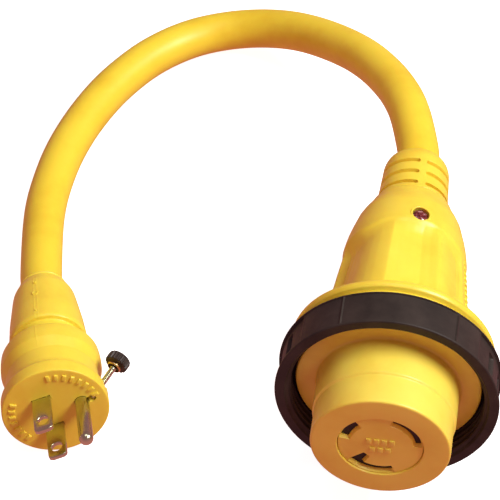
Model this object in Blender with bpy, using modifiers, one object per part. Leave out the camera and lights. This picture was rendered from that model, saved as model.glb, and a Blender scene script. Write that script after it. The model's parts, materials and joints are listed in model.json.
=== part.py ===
"""Power adapter dogbone: a 15 A straight-blade plug, a short heavy cable and a
30 A locking connector with a threaded sealing ring.

Each end is modelled in its own frame: local +Z points out of its mating face,
the face lies at Z = 0 and everything behind it has negative Z. Two empties then
lay the ends on the table (Z = 0). Lengths below are in millimetres and are
turned into metres by MM.
"""
import bpy
import bmesh
from math import cos, sin, atan2, pi, radians
from mathutils import Vector

MM = 0.001
GAP = 0.3                       # clearance between touching pieces

# ---- where the two ends lie on the table ---------------------------------
ORIGIN_X, ORIGIN_Y = -0.77, 42.73  # moves the model so that its box is centred
PLUG_FACE = (-63.85, -73.5)
PLUG_YAW, PLUG_PITCH, PLUG_ROLL = 6.85, 5.6, 18.0
NOSE_FACE = (41.3, -103.9)
NOSE_YAW, NOSE_PITCH = -7.6, -2.6

# ---- plug ------------------------------------------------------------------
PLUG_R = 17.8                   # face flange
FLANGE_L = 5.2
WAIST_R = 15.9
BAND_Z0, BAND_Z1 = 15.0, 19.2   # chamfered band behind the waist
PLUG_BACK_R = 16.85
SHOULDER_R, SHOULDER_Z = 16.3, 25.6
PLUG_BODY_L = 26.4
PLUG_REST_Z = 22.0              # the body rests on its widest ring, this far behind the face
PLUG_CAVITY_R = 12.6
PLUG_WALL = 9.0                 # front wall that holds the blades
BOOT_L = 62.5                   # end of the boot behind the face
BOOT_FRONT, BOOT_STEP = 25.7, 33.2   # front end, and the step behind the dark groove
BOOT_R = 13.3
BLADE_SPACING = 12.7
BLADE_W, BLADE_T, BLADE_OUT = 6.35, 1.52, 15.2
BLADE_X = -2.6                  # blade centre line, towards the side away from the ground pin
BLADE_HOLE_R, BLADE_HOLE_AT = 1.9, 10.6
BLADE_CHAMFER = 1.3
GROUND_X, GROUND_R, GROUND_OUT = 9.3, 2.38, 20.0
TAIL = 17.0                     # blade tails end this far behind the face
CARRIER_Z0, CARRIER_Z1 = 9.4, 15.0
CRIMP_L, CRIMP_R, WIRE_R = 8.0, 2.3, 1.45
CORE_R = 3.4                    # circle on which the three cores lie inside the jacket

# ---- locking screw beside the ground pin -----------------------------------
SCREW_TIP_X = 12.6              # where its axis meets the plug face
SCREW_TILT = 38.0               # from the plug axis
SCREW_R, INSERT_R = 1.1, 1.9
SCREW_L = 15.4                  # from its tip to the knob
KNOB_R, KNOB_T = 4.0, 3.2
KNURLS = 12
WASHER_R = 2.5
INSERT_FROM, INSERT_TO = 3.4, 5.3

# ---- cable -----------------------------------------------------------------
CABLE_R = 7.25
CABLE_IN_PLUG = 44.0            # jacket ends this far behind the plug face
CABLE_IN_CONNECTOR = 95.0       # and this far behind the connector face
FERRULE_R, FERRULE_L = 8.3, 4.0
CABLE_ROUTE = [                 # free part, on the table frame before centring
    (-72.8, 28.8, 9.2), (-69.9, 51.2, 7.9), (-65.0, 69.2, 7.45),
    (-57.6, 86.3, 7.4), (-48.7, 101.1, 7.4), (-36.9, 114.9, 7.4), (-23.1, 124.7, 7.5),
    (-8.7, 128.5, 8.6), (6.0, 126.0, 12.0), (19.6, 117.5, 17.4), (32.6, 103.3, 24.0),
    (42.9, 86.9, 30.6), (51.0, 67.9, 36.4), (55.8, 49.6, 40.3), (58.1, 29.8, 41.45),
]
CABLE_POINTS = 36

# ---- connector -------------------------------------------------------------
NOSE_R, NOSE_STEP_R, NOSE_STEP = 22.6, 23.2, 11.5
FLANGE_R, FLANGE_Z, FLANGE_T = 30.2, 25.8, 3.0
BARREL_R, SPIGOT_R = 26.2, 19.6
GRIP_Z = 37.0                   # front of the grip
NOSE_END = 50.0
FACE_R, FACE_SINK, FACE_T = 13.9, 0.6, 7.0
HOUSING_R, HOUSING_END = 18.6, 30.0
TERMINAL_R = 11.6               # circle on which the cores meet the terminals
RING_R, RING_Z0, RING_Z1 = 36.4, 19.4, 32.9
RING_MID = (RING_Z0 + RING_Z1) / 2
RING_BORE, THREAD_MINOR, THREAD_PITCH = 32.7, 31.5, 2.6
RING_WEB = 31.0
NOTCH_ANGLES = (66, 82, 98, 114)     # measured from the top of the ring, both sides
GRIP_END = 103.5
GRIP_PROFILE = [                # distance behind the face and radius, behind the lip
    (43.2, 29.5), (45.0, 26.2), (47.5, 24.9), (52, 24.2), (60, 23.3), (68, 22.4), (76, 21.4), (82, 20.6),
    (85, 20.1), (88, 19.4), (91, 18.6), (94, 17.8), (97, 16.5), (100, 14.9), (GRIP_END, 13.5),
]
NECK_END = 125.5
NECK_SLOTS = (106.3, 111.7, 117.1)   # rows of slots behind the face
NECK_SLOT_W, NECK_SLOT_R = 1.5, 9.9
NECK_SLOT_ARCS = ((-160, 3), (23, 150))     # from the top, with two spines between them
LENS_Z, LENS_ANGLE, LENS_R = 84.4, 77.5, 3.0
LAMP_R, RESISTOR_Z, RESISTOR_L, LEAD_R = 2.2, 66.0, 6.5, 12.6
FLUTES = (-148, -119, -90, -61, -34, 32, 61, 90, 119, 148)   # from the top of the grip
FLUTE_DEPTH, FLUTE_WIDTH = 1.1, 8.0
FLUTE_Z0, FLUTE_Z1, FLUTE_FADE = 44.0, 79.0, 4.0
CONTACTS = {                    # r0, r1, first and last angle of each slot
    "line": (11.2, 13.3, 8, 72),
    "neutral": (10.3, 13.5, 130, 167),
    "ground": (10.8, 12.9, 232, 289),
}
GROUND_HOOK = (7.0, 11.4, 221, 238)

COLORS = {
    "yellow": ((0.93, 0.62, 0.04), 0.38, 0.0),
    "dark_yellow": ((0.80, 0.50, 0.03), 0.5, 0.0),
    "black": ((0.02, 0.018, 0.02), 0.45, 0.0),
    "nylon": ((0.75, 0.74, 0.70), 0.5, 0.0),
    "rubber": ((0.03, 0.03, 0.03), 0.8, 0.0),
    "nickel": ((0.72, 0.70, 0.66), 0.2, 1.0),
    "brass": ((0.78, 0.57, 0.24), 0.25, 1.0),
    "steel": ((0.62, 0.63, 0.65), 0.3, 1.0),
    "core_black": ((0.02, 0.02, 0.02), 0.5, 0.0),
    "core_white": ((0.85, 0.85, 0.83), 0.5, 0.0),
    "core_green": ((0.03, 0.35, 0.10), 0.5, 0.0),
    "lens": ((0.62, 0.10, 0.08), 0.1, 0.0),
    "resistor": ((0.70, 0.58, 0.38), 0.5, 0.0),
}

for old in list(bpy.data.objects):
    bpy.data.objects.remove(old, do_unlink=True)
PARTS = bpy.data.collections.new("power_adapter_dogbone")
CUTTERS = bpy.data.collections.new("cutters")
bpy.context.scene.collection.children.link(PARTS)
bpy.context.scene.collection.children.link(CUTTERS)


def material(key):
    mat = bpy.data.materials.get(key)
    if mat is None:
        mat = bpy.data.materials.new(key)
        mat.use_nodes = True
        color, rough, metal = COLORS[key]
        shader = mat.node_tree.nodes["Principled BSDF"]
        shader.inputs["Base Color"].default_value = (*color, 1.0)
        shader.inputs["Roughness"].default_value = rough
        shader.inputs["Metallic"].default_value = metal
    return mat


def empty(name, location, rotation_deg, parent=None):
    obj = bpy.data.objects.new(name, None)
    obj.location = Vector(location) * MM
    obj.rotation_euler = [radians(a) for a in rotation_deg]
    obj.parent = parent
    PARTS.objects.link(obj)
    return obj


def add(name, mesh, parent, key, place=(0, 0, 0), turn=(0, 0, 0)):
    """A mesh object in the parts collection, or a cutter when key is None."""
    obj = bpy.data.objects.new(name, mesh)
    obj.location = Vector(place) * MM
    obj.rotation_euler = [radians(a) for a in turn]
    obj.parent = parent
    if key is None:
        CUTTERS.objects.link(obj)
        obj.hide_render = True
        obj.display_type = "WIRE"
    else:
        PARTS.objects.link(obj)
        mesh.materials.append(material(key))
        mesh.shade_smooth()
        mesh.set_sharp_from_angle(angle=radians(35))
    return obj


def turned(name, profile, parent, key, sides=48, place=(0, 0, 0), turn=(0, 0, 0)):
    """Solid of revolution about local Z; the profile runs down its outer side.

    A profile that starts and ends on the axis closes there; any other is closed
    into a ring by joining its last point to its first.
    """
    mesh = bpy.data.meshes.new(name)
    points = [(r * MM, 0.0, z * MM) for r, z in profile]
    edges = [(i, i + 1) for i in range(len(points) - 1)]
    if profile[0][0] > 0:
        edges.append((len(points) - 1, 0))
    mesh.from_pydata(points, edges, [])
    obj = add(name, mesh, parent, key, place, turn)
    screw = obj.modifiers.new("turn", "SCREW")
    screw.axis = "Z"
    screw.angle = 2 * pi
    screw.steps = screw.render_steps = sides
    screw.use_merge_vertices = True
    screw.merge_threshold = 0.00001
    screw.use_smooth_shade = True
    return obj


def ring(name, r0, r1, z0, z1, parent, key, sides=40, **where):
    """Plain tube from z0 (front) to z1 (back)."""
    return turned(name, [(r0, z0), (r1, z0), (r1, z1), (r0, z1)], parent, key, sides, **where)


def rod(name, r, z0, z1, parent, key, sides=24, **where):
    """Plain cylinder from z0 (front) to z1 (back)."""
    return turned(name, [(0, z0), (r, z0), (r, z1), (0, z1)], parent, key, sides, **where)


def prism(name, outline, z0, z1, parent, key, place=(0, 0, 0), turn=(0, 0, 0)):
    """A flat outline in XY, extruded from z0 to z1."""
    curve = bpy.data.curves.new(name, "CURVE")
    curve.dimensions = "2D"
    curve.fill_mode = "BOTH"
    curve.extrude = abs(z1 - z0) / 2 * MM
    spline = curve.splines.new("POLY")
    spline.points.add(len(outline) - 1)
    for point, (x, y) in zip(spline.points, outline):
        point.co = (x * MM, y * MM, 0, 1)
    spline.use_cyclic_u = True
    flat = bpy.data.objects.new(name + "_outline", curve)
    CUTTERS.objects.link(flat)
    bpy.context.view_layer.update()
    graph = bpy.context.evaluated_depsgraph_get()
    mesh = bpy.data.meshes.new_from_object(flat.evaluated_get(graph))
    bpy.data.objects.remove(flat)
    bpy.data.curves.remove(curve)
    work = bmesh.new()
    work.from_mesh(mesh)
    bmesh.ops.remove_doubles(work, verts=work.verts, dist=0.000001)
    bmesh.ops.translate(work, verts=work.verts, vec=(0, 0, (z0 + z1) / 2 * MM))
    bmesh.ops.recalc_face_normals(work, faces=work.faces)
    work.to_mesh(mesh)
    work.free()
    mesh.name = name
    mesh.materials.clear()
    return add(name, mesh, parent, key, place, turn)


def cut(obj, *cutters):
    for cutter in cutters:
        mod = obj.modifiers.new("cut_" + cutter.name, "BOOLEAN")
        mod.operation = "DIFFERENCE"
        mod.solver = "EXACT"
        mod.object = cutter
    return obj


def sector(r0, r1, a0, a1, step=6):
    """Annular sector outline, angles in degrees, counter-clockwise."""
    count = max(2, round(abs(a1 - a0) / step))
    angles = [radians(a0 + (a1 - a0) * i / count) for i in range(count + 1)]
    outer = [(r1 * cos(a), r1 * sin(a)) for a in angles]
    inner = [(r0 * cos(a), r0 * sin(a)) for a in reversed(angles)]
    return outer + inner


def rectangle(width, height, x=0.0, y=0.0):
    w, h = width / 2, height / 2
    return [(x - w, y - h), (x + w, y - h), (x + w, y + h), (x - w, y + h)]


def smooth_route(route, count):
    """Evenly spaced points on a Catmull-Rom curve through the route's points."""
    fine = []
    steps = 24
    pts = [Vector(p) for p in route]
    pts = [2 * pts[0] - pts[1]] + pts + [2 * pts[-1] - pts[-2]]
    for a, b, c, d in zip(pts, pts[1:], pts[2:], pts[3:]):
        for i in range(steps):
            t = i / steps
            fine.append(0.5 * (2 * b + (c - a) * t + (2 * a - 5 * b + 4 * c - d) * t * t
                               + (3 * b - a - 3 * c + d) * t ** 3))
    fine.append(pts[-2])
    run = [0.0]
    for p, q in zip(fine, fine[1:]):
        run.append(run[-1] + (q - p).length)
    result, k = [], 0
    for i in range(count):
        want = run[-1] * i / (count - 1)
        while k < len(run) - 2 and run[k + 1] < want:
            k += 1
        t = (want - run[k]) / (run[k + 1] - run[k])
        result.append(fine[k].lerp(fine[k + 1], t))
    return result


def tube(name, points, radius, parent, key, sides_level=2):
    """Round wire along a list of points."""
    curve = bpy.data.curves.new(name, "CURVE")
    curve.dimensions = "3D"
    curve.bevel_depth = radius * MM
    curve.bevel_resolution = sides_level
    curve.use_fill_caps = True
    spline = curve.splines.new("POLY")
    spline.points.add(len(points) - 1)
    for point, co in zip(spline.points, points):
        point.co = (*(Vector(co) * MM), 1)
    obj = bpy.data.objects.new(name, curve)
    obj.parent = parent
    curve.materials.append(material(key))
    PARTS.objects.link(obj)
    return obj


def loft(name, rings, parent, key):
    """Skin closed rings of points into one closed, ring-shaped solid."""
    work = bmesh.new()
    loops = [[work.verts.new(Vector(p) * MM) for p in points] for points in rings]
    for here, there in zip(loops, loops[1:] + loops[:1]):
        for i in range(len(here)):
            j = (i + 1) % len(here)
            work.faces.new((here[i], here[j], there[j], there[i]))
    bmesh.ops.recalc_face_normals(work, faces=work.faces)
    mesh = bpy.data.meshes.new(name)
    work.to_mesh(mesh)
    work.free()
    return add(name, mesh, parent, key)


# ---- frames of the two ends --------------------------------------------------
def table_point(x, y, z):
    return (x - ORIGIN_X, y + ORIGIN_Y, z)


plug_height = PLUG_BACK_R * cos(radians(PLUG_PITCH)) + PLUG_REST_Z * sin(radians(PLUG_PITCH))
plug_frame = empty("plug_frame", table_point(*PLUG_FACE, plug_height), (90 - PLUG_PITCH, 0, PLUG_YAW))
plug = empty("plug_roll", (0, 0, 0), (0, 0, PLUG_ROLL), plug_frame)
nose_height = RING_R + RING_MID * sin(radians(NOSE_PITCH))
conn = empty("connector_frame", table_point(*NOSE_FACE, nose_height), (90 - NOSE_PITCH, 0, NOSE_YAW))
# the ring is loose: it stands upright on the table while the connector leans in it
ring_tilt = empty("ring_tilt", (0, 0, -RING_MID), (NOSE_PITCH, 0, 0), conn)
ring_frame = empty("ring_frame", (0, 0, RING_MID), (0, 0, 0), ring_tilt)
bpy.context.view_layer.update()


def in_world(frame, z):
    """World point on a frame's axis, z behind its face, in millimetres."""
    return (frame.matrix_world @ Vector((0, 0, -z * MM))) / MM


# ---- plug --------------------------------------------------------------------
def ground_pin_outline():
    tip = [(GROUND_R * sin(radians(a)), GROUND_OUT - GROUND_R + GROUND_R * cos(radians(a)))
           for a in (0, 22, 45, 68, 90)]
    return tip + [(GROUND_R, -TAIL), (0, -TAIL)]


def blade(name, y):
    """Flat blade with a bevelled tip and a hole, standing in the XZ plane."""
    half = BLADE_W / 2
    outline = [(BLADE_X - half, -TAIL), (BLADE_X + half, -TAIL),
               (BLADE_X + half, BLADE_OUT - BLADE_CHAMFER), (BLADE_X + half - BLADE_CHAMFER, BLADE_OUT),
               (BLADE_X - half + BLADE_CHAMFER, BLADE_OUT), (BLADE_X - half, BLADE_OUT - BLADE_CHAMFER)]
    obj = prism(name, outline, -BLADE_T / 2, BLADE_T / 2, plug, "nickel", (0, y, 0), (90, 0, 0))
    hole = rod(name + "_hole", BLADE_HOLE_R, 2, -2, plug, None, 20, place=(BLADE_X, y, BLADE_HOLE_AT),
               turn=(90, 0, 0))
    return cut(obj, hole)


def blade_slots(name, z0, z1):
    """Cutters for the two blades and the ground pin, from z0 to z1."""
    y = BLADE_SPACING / 2
    size = (BLADE_W + 2 * GAP, BLADE_T + 2 * GAP)
    return [prism(name + "_line_slot", rectangle(*size, BLADE_X, y), z0, z1, plug, None),
            prism(name + "_neutral_slot", rectangle(*size, BLADE_X, -y), z0, z1, plug, None),
            rod(name + "_ground_hole", GROUND_R + GAP, z0, z1, plug, None, 24, place=(GROUND_X, 0, 0))]


def build_plug_shells(screw):
    body = turned("plug_body", [
        (0, 0), (PLUG_R - 0.5, 0), (PLUG_R, -0.5), (PLUG_R, -FLANGE_L), (PLUG_R - 0.5, -FLANGE_L - 0.7),
        (WAIST_R + 0.3, -FLANGE_L - 1.6), (WAIST_R, -FLANGE_L - 3), (WAIST_R, -BAND_Z0),
        (PLUG_BACK_R, -BAND_Z1), (PLUG_BACK_R, -PLUG_REST_Z), (SHOULDER_R, -SHOULDER_Z),
        (SHOULDER_R - 0.8, -PLUG_BODY_L), (PLUG_CAVITY_R, -PLUG_BODY_L), (PLUG_CAVITY_R, -PLUG_WALL),
        (0, -PLUG_WALL)], plug, "yellow", 32)
    cut(body, *blade_slots("body", 1, -PLUG_WALL - 1))
    bore = rod("screw_bore", SCREW_R + 0.2, 12, -2, screw, None, 20)
    pocket = rod("insert_pocket", INSERT_R + 0.15, 14, INSERT_FROM - GAP, screw, None, 24)
    cut(body, bore, pocket)

    taper = [(BOOT_R, -BOOT_STEP), (12.6, -42.0), (11.7, -48.6), (11.0, -53.7), (10.6, -56.0), (9.8, -58.0),
             (8.9, -60.0), (8.1, -BOOT_L)]
    bore_r, front_r, front_bore = CABLE_R + GAP, PLUG_CAVITY_R - GAP, 11.1
    turned("plug_boot", [(front_r, -BOOT_FRONT), (front_r, -BOOT_STEP + 0.6)] + taper + [
        (bore_r, -BOOT_L), (bore_r, -51), (FERRULE_R + GAP, -50), (FERRULE_R + GAP, -41),
        (front_bore, -36), (front_bore, -BOOT_FRONT)], plug, "yellow", 28)


def build_plug_inside():
    blade("line_blade", BLADE_SPACING / 2)
    blade("neutral_blade", -BLADE_SPACING / 2)
    turned("ground_pin", ground_pin_outline(), plug, "nickel", 24, place=(GROUND_X, 0, 0))
    carrier = rod("blade_carrier", PLUG_CAVITY_R - GAP, -CARRIER_Z0, -CARRIER_Z1, plug, "nylon", 24)
    cut(carrier, *blade_slots("carrier", -CARRIER_Z0 + 1, -CARRIER_Z1 - 1))

    start = -TAIL - GAP
    half = BLADE_SPACING / 2
    cores = [("line", BLADE_X, half, "core_black"), ("neutral", BLADE_X, -half, "core_white"),
             ("ground", GROUND_X, 0.0, "core_green")]
    for name, x, y, key in cores:
        rod(name + "_crimp", CRIMP_R, start, start - CRIMP_L, plug, "brass", 16, place=(x, y, 0))
        end_x, end_y = CORE_R * cos(atan2(y, x)), CORE_R * sin(atan2(y, x))
        z0, z1 = start - CRIMP_L - GAP, -CABLE_IN_PLUG + GAP
        points = []
        for along, inwards in ((0, 0), (0.15, 0), (0.35, 0.2), (0.65, 0.65), (0.85, 1), (1, 1)):
            points.append((x + (end_x - x) * inwards, y + (end_y - y) * inwards, z0 + (z1 - z0) * along))
        tube(name + "_wire_plug", points, WIRE_R, plug, key)
    ring("plug_cable_ferrule", CABLE_R + GAP, FERRULE_R, -CABLE_IN_PLUG - 1, -CABLE_IN_PLUG - 1 - FERRULE_L,
         plug, "steel", 20)


def build_locking_screw(screw):
    """Brass insert, captive washer, shank and knurled knob on one slanted axis."""
    ring("lock_screw_insert", SCREW_R + 0.25, INSERT_R, INSERT_TO, INSERT_FROM, screw, "brass", 16)
    ring("lock_screw_washer", SCREW_R + 0.25, WASHER_R, SCREW_L - 0.4, SCREW_L - 1.3, screw, "brass", 16)
    top = SCREW_L + KNOB_T
    knob = turned("lock_screw_knob", [
        (0, top), (KNOB_R - 0.6, top), (KNOB_R, top - 0.5), (KNOB_R, SCREW_L + 0.4), (KNOB_R - 0.5, SCREW_L),
        (0, SCREW_L)], screw, "black", 24)
    for i in range(KNURLS):
        a = 2 * pi * i / KNURLS
        groove = rod("knurl_%02d" % i, 0.45, top + 1, SCREW_L - 1, screw, None, 8,
                     place=((KNOB_R + 0.12) * cos(a), (KNOB_R + 0.12) * sin(a), 0))
        cut(knob, groove)
    turned("lock_screw_shank", [
        (0, SCREW_L - GAP), (SCREW_R, SCREW_L - GAP), (SCREW_R, 0.9), (SCREW_R - 0.5, 0.2), (0, 0.2)],
        screw, "nickel", 20)


# ---- connector -----------------------------------------------------------------
def build_nose():
    """Mating nose, flat sealing flange, the barrel that carries the ring, and a spigot."""
    bore_r, pocket_r = FACE_R, HOUSING_R + GAP
    wall = FACE_SINK + FACE_T + GAP
    turned("connector_nose", [
        (bore_r, 0), (NOSE_R - 0.8, 0), (NOSE_R, -0.8), (NOSE_R, -NOSE_STEP), (NOSE_STEP_R, -NOSE_STEP - 0.5),
        (NOSE_STEP_R, -FLANGE_Z + 0.6), (NOSE_STEP_R + 0.6, -FLANGE_Z), (FLANGE_R - 0.4, -FLANGE_Z),
        (FLANGE_R, -FLANGE_Z - 0.4), (FLANGE_R, -FLANGE_Z - FLANGE_T), (BARREL_R, -FLANGE_Z - FLANGE_T),
        (BARREL_R, -GRIP_Z + GAP), (SPIGOT_R, -GRIP_Z + GAP), (SPIGOT_R, -NOSE_END),
        (pocket_r - 1.2, -NOSE_END), (pocket_r - 1.2, -HOUSING_END - 1), (pocket_r, -HOUSING_END - 1),
        (pocket_r, -wall), (bore_r, -wall)],
        conn, "yellow", 40)


def ground_outline(grow):
    """Ground slot: an arc with a hook that turns inwards at its first end."""
    r0, r1, a0, a1 = CONTACTS["ground"]
    h0, h1, b0, b1 = GROUND_HOOK
    da = grow / r1 * 180 / pi
    outer = [(a, r1 + grow) for a in range(a0 - 5, a1 + 1, 6)]
    outer[0] = (b0 - da + 4, r1 + grow)
    outer[-1] = (a1 + da, r1 + grow)
    inner = [(a1 + da, r0 - grow), (a1 - 12, r0 - grow), (a1 - 26, r0 - grow), (a1 - 40, r0 - grow),
             (b1 + 4 + da, r0 - grow), (b1 + 4 + 2 * da, h0 - grow), (b0 + 2 - 2 * da, h0 - grow)]
    return [(r * cos(radians(a)), r * sin(radians(a))) for a, r in outer + inner]


def slot_outline(name, grow=0.0):
    if name == "ground":
        return ground_outline(grow)
    r0, r1, a0, a1 = CONTACTS[name]
    da = grow / r1 * 180 / pi
    return sector(r0 - grow, r1 + grow, a0 - da, a1 + da)


def build_contacts():
    face = rod("contact_face", FACE_R - GAP, -FACE_SINK, -FACE_SINK - FACE_T, conn, "yellow", 32)
    for name in CONTACTS:
        cut(face, prism("face_slot_" + name, slot_outline(name), 1, -FACE_SINK - FACE_T - 1, conn, None))
    front = -FACE_SINK - FACE_T
    housing = rod("contact_housing", HOUSING_R, front - 2 * GAP, -HOUSING_END, conn, "nylon", 28)
    for name in CONTACTS:
        r0, r1, a0, a1 = CONTACTS[name]
        middle, half = (a0 + a1) / 2, (a1 - a0) / 2
        pocket = sector(r0 - 2.2, r1 + 2.2, middle - half - 9, middle + half + 9)
        cut(housing, prism("housing_pocket_" + name, pocket, 1, -HOUSING_END - 1, conn, None))
        clip = prism(name + "_contact", sector(r0 - 1.7, r1 + 1.7, middle - half - 5, middle + half + 5),
                     front - 1.2, -HOUSING_END + 0.6, conn, "brass")
        blade_room = sector(r0 - 0.4, r1 + 0.4, middle - half - 3, middle + half + 3)
        cut(clip, prism(name + "_contact_gap", blade_room, 0, -21, conn, None))
        a = radians(middle)
        turned(name + "_terminal_screw", [
            (0, -HOUSING_END - 0.1), (1.3, -HOUSING_END - 0.1), (1.3, -HOUSING_END - 1.3),
            (2.5, -HOUSING_END - 1.3), (2.5, -HOUSING_END - 3.0), (0, -HOUSING_END - 3.0)], conn, "steel", 20,
            place=(12.1 * cos(a), 12.1 * sin(a), 0))


def build_connector_wires():
    keys = {"line": "core_black", "neutral": "core_white", "ground": "core_green"}
    for name in CONTACTS:
        a = radians((CONTACTS[name][2] + CONTACTS[name][3]) / 2 + 26)
        z0, z1 = -HOUSING_END - 1.2, -CABLE_IN_CONNECTOR + GAP
        span = z1 - z0
        points = []
        for t in (0, .12, .28, .42, .56, .70, .84, 1.0):
            blend = t * t * (3 - 2 * t)
            r = TERMINAL_R + (CORE_R - TERMINAL_R) * blend
            points.append((r * cos(a), r * sin(a), z0 + span * t))
        tube(name + "_wire_connector", points, WIRE_R, conn, keys[name])
    ring("connector_cable_ferrule", CABLE_R + GAP, FERRULE_R, -CABLE_IN_CONNECTOR - 1,
         -CABLE_IN_CONNECTOR - 1 - FERRULE_L, conn, "steel", 20)


def grip_radius(z):
    """Plain radius of the grip behind the lip, before the flutes are pressed in."""
    for (z0, r0), (z1, r1) in zip(GRIP_PROFILE, GRIP_PROFILE[1:]):
        if z <= z1:
            return r0 + (r1 - r0) * (z - z0) / (z1 - z0)
    return GRIP_PROFILE[-1][1]


def flute(z, angle):
    """Depth of the finger flutes: shallow valleys that fade out at both ends."""
    start = min(max((z - FLUTE_Z0) / FLUTE_FADE, 0.0), 1.0)
    stop = min(max((FLUTE_Z1 - z) / FLUTE_FADE, 0.0), 1.0)
    depth = 0.0
    for valley in FLUTES:
        away = (angle - valley + 180) % 360 - 180
        depth += FLUTE_DEPTH * max(0.0, 1 - (away / FLUTE_WIDTH) ** 2)
    return depth * start * stop


def build_grip():
    sides = 40
    angles = [360.0 * i / sides for i in range(sides)]

    def circle(r, z):
        return [(r * sin(radians(a)), r * cos(radians(a)), -z) for a in angles]

    rings = [circle(r, z) for r, z in ((30.8, GRIP_Z), (31.6, GRIP_Z + 0.6), (31.8, 38.2), (33.2, 39.2),
                                       (33.6, 40.2), (33.3, 41.6), (32.0, 42.4))]
    for z, _ in GRIP_PROFILE:
        rings.append([((grip_radius(z) - flute(z, a)) * sin(radians(a)),
                       (grip_radius(z) - flute(z, a)) * cos(radians(a)), -z) for a in angles])
    for r, z in ((9.3, GRIP_END), (9.3, 96.0), (13.5, 88.0), (17.5, 70.0), (SPIGOT_R + GAP, 56.0),
                 (SPIGOT_R + GAP, GRIP_Z)):
        rings.append(circle(r, z))
    grip = loft("connector_grip", rings, conn, "yellow")
    cut(grip, rod("lens_hole", LENS_R + GAP, 30, 8, conn, None, 24, place=(0, 0, -LENS_Z),
                  turn=(0, 90, LENS_ANGLE)))


def build_neck():
    """Strain relief: a slotted sleeve that is part of the grip's rear end."""
    bore_r = CABLE_R + GAP
    neck = turned("strain_relief", [
        (9.0, -GRIP_END + 3), (9.0, -GRIP_END - GAP), (13.1, -GRIP_END - GAP), (12.5, -105.0), (12.1, -107.5),
        (11.9, -110.0), (11.5, -117.5), (11.3, -121.0), (10.6, -123.2), (9.5, -124.7), (8.1, -NECK_END),
        (bore_r, -NECK_END), (bore_r, -GRIP_END + 3)], conn, "yellow", 28)
    for row, z in enumerate(NECK_SLOTS):
        for side, (a0, a1) in enumerate(NECK_SLOT_ARCS):
            # sector() counts from +X, and these angles run the other way round from +Y
            outline = sector(NECK_SLOT_R, 14.0, 90 - a1, 90 - a0, 20)
            cut(neck, prism("relief_slot_%d_%d" % (row, side), outline, -z + NECK_SLOT_W / 2,
                            -z - NECK_SLOT_W / 2, conn, None))


def build_indicator():
    """Lens in the grip wall, with the lamp, its resistor and its leads behind it."""
    where = {"place": (0, 0, -LENS_Z), "turn": (0, 90, LENS_ANGLE)}
    turned("indicator_lens", [
        (0, 20.3), (1.2, 20.15), (2.2, 19.6), (LENS_R, 18.7), (LENS_R, 15.5), (0, 15.5)],
        conn, "lens", 24, **where)
    rod("indicator_lamp", LAMP_R, 15.1, 11.4, conn, "nylon", 20, **where)
    a = radians(LENS_ANGLE)

    def at(r, z):
        return (r * cos(a), r * sin(a), -z)

    front, rear = LENS_Z - LAMP_R - GAP, RESISTOR_Z - GAP
    rod("lamp_resistor", 1.1, -RESISTOR_Z, -RESISTOR_Z - RESISTOR_L, conn, "resistor", 16,
        place=at(LEAD_R, 0))
    tube("lamp_lead_front", [at(LEAD_R, RESISTOR_Z + RESISTOR_L + GAP), at(LEAD_R, 76), at(LEAD_R, front)],
         0.35, conn, "steel")
    tube("lamp_lead_rear", [at(LEAD_R, rear), at(LEAD_R, 60), at(12.8, 54), at(13.0, 47), at(13.0, 40)],
         0.35, conn, "steel")


def build_ring():
    """Threaded locking ring, captive between the flange and the grip's lip."""
    outer = [(33.0, -RING_Z0), (RING_R - 0.7, -RING_Z0), (RING_R, -RING_Z0 - 0.7),
             (RING_R, -RING_Z1 + 0.8), (RING_R - 0.8, -RING_Z1)]
    web = [(BARREL_R + 0.5, -RING_Z1), (BARREL_R + 0.5, -RING_WEB), (RING_BORE, -RING_WEB)]
    thread = []
    for i in reversed(range(3)):
        z = -RING_Z0 - 0.9 - THREAD_PITCH * i
        thread += [(RING_BORE, z - 2.1), (THREAD_MINOR, z - 1.4), (THREAD_MINOR, z - 0.9),
                   (RING_BORE, z - 0.2)]
    body = turned("locking_ring", outer + web + thread, ring_frame, "black", 40)
    for side in (-1, 1):
        for angle in NOTCH_ANGLES:
            a = 90 - side * angle
            notch = prism("ring_notch_%d_%d" % (side, angle), rectangle(4.0, 3.4, RING_R + 0.4, 0),
                          -RING_Z0 - 2.6, -RING_Z1 + 2.4, ring_frame, None, turn=(0, 0, a))
            cut(body, notch)
    back = -FLANGE_Z - FLANGE_T
    ring("slip_washer", BARREL_R + 0.5, 30.0, back - GAP, back - 0.55, conn, "nylon", 28)


# ---- cable -----------------------------------------------------------------------
def build_cable():
    """Jacket from inside the boot, over the table, to inside the strain relief."""
    start = [in_world(plug, z) for z in (CABLE_IN_PLUG, CABLE_IN_PLUG + 9, BOOT_L, BOOT_L + 9)]
    finish = [in_world(conn, z) for z in (NECK_END + 2.5, NECK_END - 6, NECK_END - 16, CABLE_IN_CONNECTOR)]
    free = [Vector(table_point(*p)) for p in CABLE_ROUTE]
    tube("cable_jacket", smooth_route(start + free + finish, CABLE_POINTS), CABLE_R, None, "yellow", 3)


def main():
    screw = empty("lock_screw_axis", (SCREW_TIP_X, 0, 0), (0, 180 - SCREW_TILT, 0), plug)
    bpy.context.view_layer.update()
    build_plug_shells(screw)
    build_plug_inside()
    build_locking_screw(screw)
    build_nose()
    build_contacts()
    build_connector_wires()
    build_grip()
    build_neck()
    build_indicator()
    build_ring()
    build_cable()


main()
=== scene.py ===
"""Looks of the power adapter dogbone: yellow plug, cable and locking connector.

Each end has its own frame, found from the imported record: local +Z points out of
the mating face, the face lies at Z = 0, and local shapes are in millimetres.
"""
import bpy
import bmesh
import json
import numpy as np
from math import cos, sin, pi, radians, degrees, hypot
from mathutils import Matrix, Vector


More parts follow.
